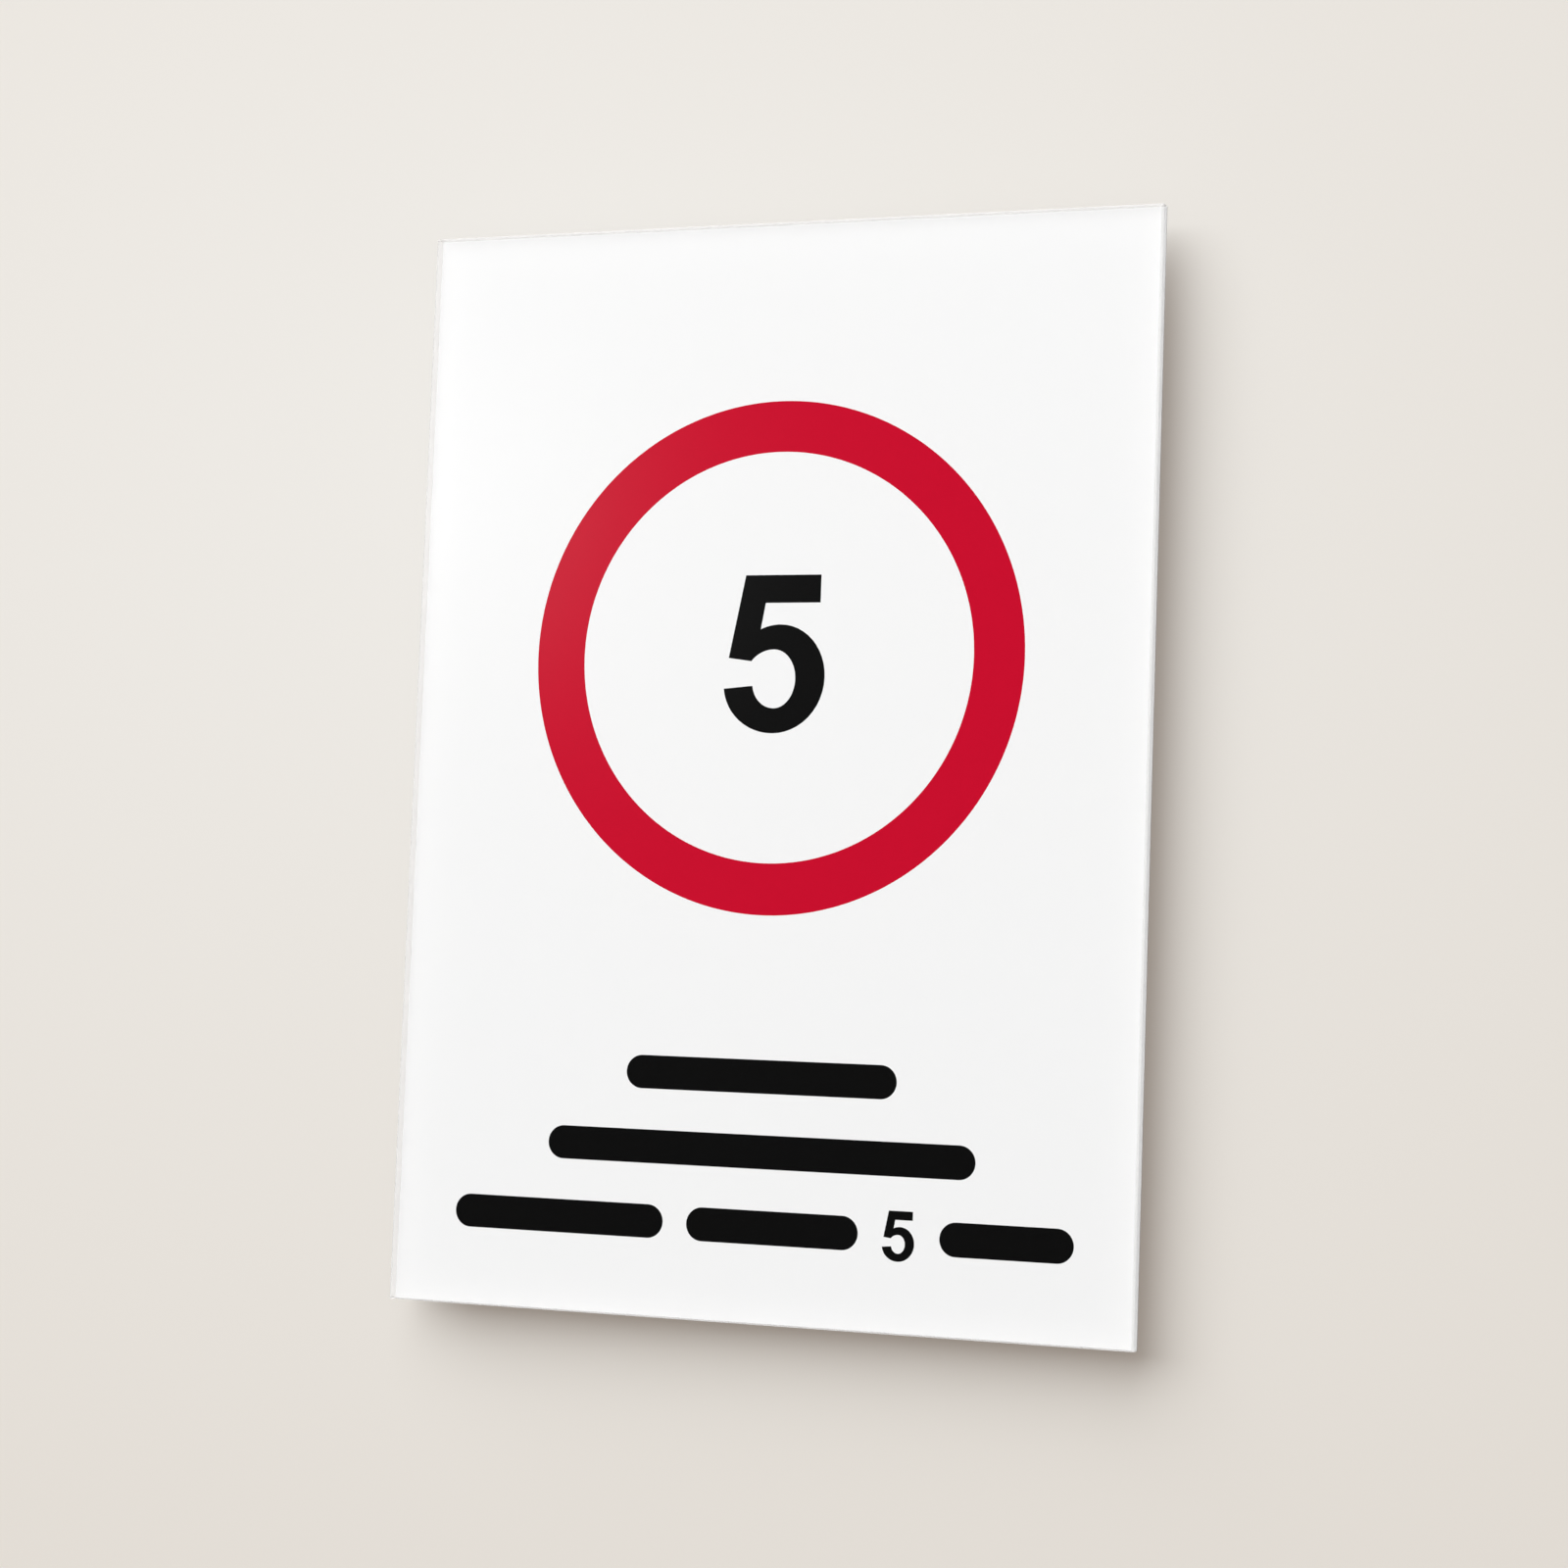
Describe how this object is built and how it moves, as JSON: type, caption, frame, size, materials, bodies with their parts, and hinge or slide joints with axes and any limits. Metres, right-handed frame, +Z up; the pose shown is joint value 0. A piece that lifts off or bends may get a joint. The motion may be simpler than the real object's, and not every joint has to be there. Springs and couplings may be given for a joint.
{
  "type": "caution sign",
  "caption": "Upright wall sign: a clear plastic sheet printed on its back in white, with a red speed ring round a black number and black bars below it.",
  "frame": {"origin": "centre of the back face, where the sign meets the wall", "axes": "+Z up the sign, +Y out of its back towards the wall, +X to the right as the sign is read"},
  "size_m": [0.21, 0.0043, 0.297],
  "materials": {
    "clear_acrylic": "gloss",
    "white_print": "satin",
    "red_print": "satin",
    "black_print": "satin"
  },
  "bodies": {
    "root": {"clear_sheet": "clear_acrylic", "white_backing": "white_print", "red_ring": "red_print", "numeral": "black_print", "small_numeral": "black_print", "word_bar_1": "black_print", "word_bar_2": "black_print", "word_bar_3": "black_print", "word_bar_4": "black_print", "word_bar_5": "black_print"}
  },
  "joints": []
}
